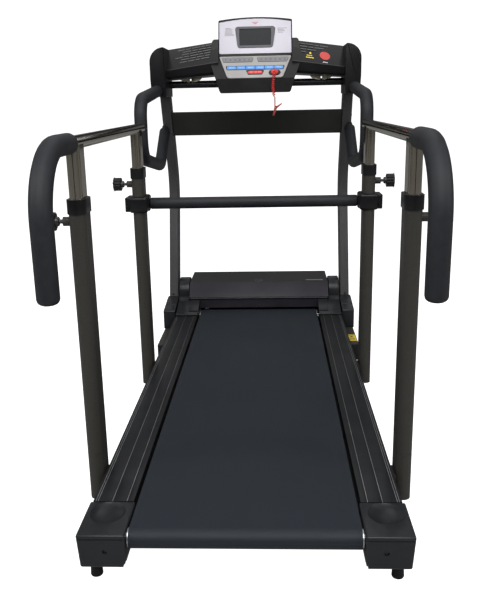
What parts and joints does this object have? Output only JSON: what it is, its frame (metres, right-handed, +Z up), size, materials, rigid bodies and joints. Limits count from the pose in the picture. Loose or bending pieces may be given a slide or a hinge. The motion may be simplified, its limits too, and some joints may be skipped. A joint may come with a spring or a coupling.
{
  "type": "treadmill",
  "caption": "Rehabilitation treadmill with a wide walking belt, tall console, foam grip loops, a padded cross bar and long height-adjustable side handrails on posts",
  "frame": {"origin": "on the floor, midway along and across the machine", "axes": "+X to the walker's right, +Y forward towards the console, +Z up"},
  "size_m": [0.944, 2.14, 1.3543],
  "materials": {
    "frame_paint": "dark grey hammered enamel with a brown cast",
    "black_paint": "satin black powder coat",
    "black_plastic": "fine-grained black moulded plastic",
    "rail_aluminium": "black anodised extrusion with bright grooves",
    "belt_rubber": "woven black walking belt",
    "chrome_tube": "polished chrome plate",
    "steel": "turned zinc-plated steel",
    "foam": "closed-cell black foam sleeve",
    "foot_rubber": "black moulded rubber",
    "deck_board": "waxed fibreboard, dark laminate on top",
    "silver_panel": "silver printed overlay with a faint lilac cast",
    "screen_glass": "dark display window",
    "blue_key": "blue key caps",
    "red_key": "red key caps",
    "red_cord": "red twisted nylon cord"
  },
  "bodies": {
    "frame": {"base_frame": "frame_paint", "console_housing": "black_plastic", "corner_covers": "black_plastic", "cross_panel": "black_paint", "deck_board": "deck_board", "deck_cushions": "foot_rubber", "deck_frame": "black_paint", "display_panel": "silver_panel", "display_screen": "screen_glass", "drive_belt": "belt_rubber", "frame_bolts": "steel", "grip_foams": "foam", "grip_loop_tubes": "steel", "keypad_panel": "silver_panel", "motor_body": "black_paint", "motor_cover": "black_plastic", "outer_posts": "frame_paint", "post_collars": "black_plastic", "pulse_bar": "black_plastic", "pulse_sensors": "chrome_tube", "rail_front_caps": "black_plastic", "rear_caps": "black_plastic", "rear_feet": "foot_rubber", "roller_axles": "steel", "running_belt": "belt_rubber", "screen_bezel": "black_plastic", "side_rail_left": "rail_aluminium", "side_rail_right": "rail_aluminium", "uprights": "black_paint", "wing_left": "black_plastic", "wing_right": "black_plastic"},
    "front_roller_body": {"front_roller": "steel"},
    "rear_roller_body": {"rear_roller": "steel"},
    "motor_rotor": {"motor_flywheel": "steel"},
    "incline_arm": {"incline_frame": "black_paint"},
    "actuator_body": {"incline_actuator": "black_plastic"},
    "lift_screw": {"incline_screw": "steel"},
    "wheel_left": {"transport_wheel_left": "foot_rubber"},
    "wheel_right": {"transport_wheel_right": "foot_rubber"},
    "left_handrail": {"handrail_left": "chrome_tube", "handrail_foam_left": "foam"},
    "right_handrail": {"handrail_right": "chrome_tube", "handrail_foam_right": "foam"},
    "cross_bar": {"front_bar": "foam", "front_bar_clamps": "black_plastic"},
    "knob_rear_left": {"lock_knob_rear_left": "black_plastic"},
    "knob_rear_right": {"lock_knob_rear_right": "black_plastic"},
    "knob_front_left": {"lock_knob_front_left": "black_plastic"},
    "knob_front_right": {"lock_knob_front_right": "black_plastic"},
    "start_key": {"start_stop_key": "red_key"},
    "pull_key": {"safety_key": "red_key", "lanyard": "red_cord", "lanyard_clip": "chrome_tube"},
    "lever": {"clip_lever": "chrome_tube"},
    "key_1": {"quick_key_1": "blue_key"},
    "key_2": {"quick_key_2": "blue_key"},
    "key_3": {"quick_key_3": "blue_key"},
    "key_4": {"quick_key_4": "blue_key"},
    "key_5": {"quick_key_5": "blue_key"},
    "key_6": {"quick_key_6": "blue_key"}
  },
  "joints": [
    {"name": "front_roller_spin", "type": "hinge", "parent": "frame", "child": "front_roller_body", "pos_m": [0, 0.69, 0.106], "axis": [-1, 0, 0], "continuous": true},
    {"name": "rear_roller_spin", "type": "hinge", "parent": "frame", "child": "rear_roller_body", "pos_m": [0, -1.035, 0.106], "axis": [-1, 0, 0], "continuous": true},
    {"name": "motor_spin", "type": "hinge", "parent": "frame", "child": "motor_rotor", "pos_m": [-0.158, 0.92, 0.118], "axis": [-1, 0, 0], "continuous": true},
    {"name": "incline_lift", "type": "hinge", "parent": "frame", "child": "incline_arm", "pos_m": [0, 0.49, 0.045], "axis": [-1, 0, 0], "range_deg": [0, 7]},
    {"name": "actuator_swivel", "type": "hinge", "parent": "frame", "child": "actuator_body", "pos_m": [0, 0.98, 0.175], "axis": [1, 0, 0], "range_deg": [0, 9.8]},
    {"name": "screw_slide", "type": "slide", "parent": "actuator_body", "child": "lift_screw", "axis": [0, -0.6905, -0.7234], "range_m": [0, 0.0372]},
    {"name": "wheel_left_spin", "type": "hinge", "parent": "incline_arm", "child": "wheel_left", "pos_m": [-0.326, 0.95, 0.0285], "axis": [-1, 0, 0], "continuous": true},
    {"name": "wheel_right_spin", "type": "hinge", "parent": "incline_arm", "child": "wheel_right", "pos_m": [0.326, 0.95, 0.0285], "axis": [-1, 0, 0], "continuous": true},
    {"name": "handrail_left_height", "type": "slide", "parent": "frame", "child": "left_handrail", "axis": [0, 0, 1], "range_m": [-0.1, 0.15]},
    {"name": "handrail_right_height", "type": "slide", "parent": "frame", "child": "right_handrail", "axis": [0, 0, 1], "range_m": [-0.1, 0.15]},
    {"name": "front_bar_height", "type": "slide", "parent": "frame", "child": "cross_bar", "axis": [0, 0, 1], "range_m": [-0.35, 0.01]},
    {"name": "knob_rear_left_turn", "type": "hinge", "parent": "frame", "child": "knob_rear_left", "pos_m": [-0.44, -0.738, 0.757], "axis": [-1, 0, 0], "range_deg": [0, 270]},
    {"name": "knob_rear_right_turn", "type": "hinge", "parent": "frame", "child": "knob_rear_right", "pos_m": [0.44, -0.738, 0.757], "axis": [1, 0, 0], "range_deg": [0, 270]},
    {"name": "knob_front_left_turn", "type": "hinge", "parent": "frame", "child": "knob_front_left", "pos_m": [-0.44, 0.055, 0.757], "axis": [-1, 0, 0], "range_deg": [0, 270]},
    {"name": "knob_front_right_turn", "type": "hinge", "parent": "frame", "child": "knob_front_right", "pos_m": [0.44, 0.055, 0.757], "axis": [1, 0, 0], "range_deg": [0, 270]},
    {"name": "key_1_press", "type": "slide", "parent": "frame", "child": "key_1", "axis": [0, 0.6252, -0.7804], "range_m": [0, 0.0012], "stiffness_N_per_m": 500},
    {"name": "key_2_press", "type": "slide", "parent": "frame", "child": "key_2", "axis": [0, 0.6252, -0.7804], "range_m": [0, 0.0012], "stiffness_N_per_m": 500},
    {"name": "key_3_press", "type": "slide", "parent": "frame", "child": "key_3", "axis": [0, 0.6252, -0.7804], "range_m": [0, 0.0012], "stiffness_N_per_m": 500},
    {"name": "key_4_press", "type": "slide", "parent": "frame", "child": "key_4", "axis": [0, 0.6252, -0.7804], "range_m": [0, 0.0012], "stiffness_N_per_m": 500},
    {"name": "key_5_press", "type": "slide", "parent": "frame", "child": "key_5", "axis": [0, 0.6252, -0.7804], "range_m": [0, 0.0012], "stiffness_N_per_m": 500},
    {"name": "key_6_press", "type": "slide", "parent": "frame", "child": "key_6", "axis": [0, 0.6252, -0.7804], "range_m": [0, 0.0012], "stiffness_N_per_m": 500},
    {"name": "start_key_press", "type": "slide", "parent": "frame", "child": "start_key", "axis": [0, 0.6252, -0.7804], "range_m": [0, 0.0012], "stiffness_N_per_m": 500},
    {"name": "safety_key_pull", "type": "slide", "parent": "frame", "child": "pull_key", "axis": [0, -0.6252, 0.7804], "range_m": [0, 0.03]},
    {"name": "clip_lever_squeeze", "type": "hinge", "parent": "pull_key", "child": "lever", "pos_m": [0.083, 0.599, 0.995], "axis": [0, -1, 0], "range_deg": [0, 15], "stiffness_Nm_per_rad": 0.05}
  ],
  "couplings": [
    {"joint": "rear_roller_spin", "follows": "front_roller_spin", "ratio": 1},
    {"joint": "motor_spin", "follows": "front_roller_spin", "ratio": 1.5},
    {"joint": "actuator_swivel", "follows": "incline_lift", "ratio": 1.3995},
    {"joint": "screw_slide", "follows": "incline_lift", "m_per_rad": 0.3037}
  ]
}
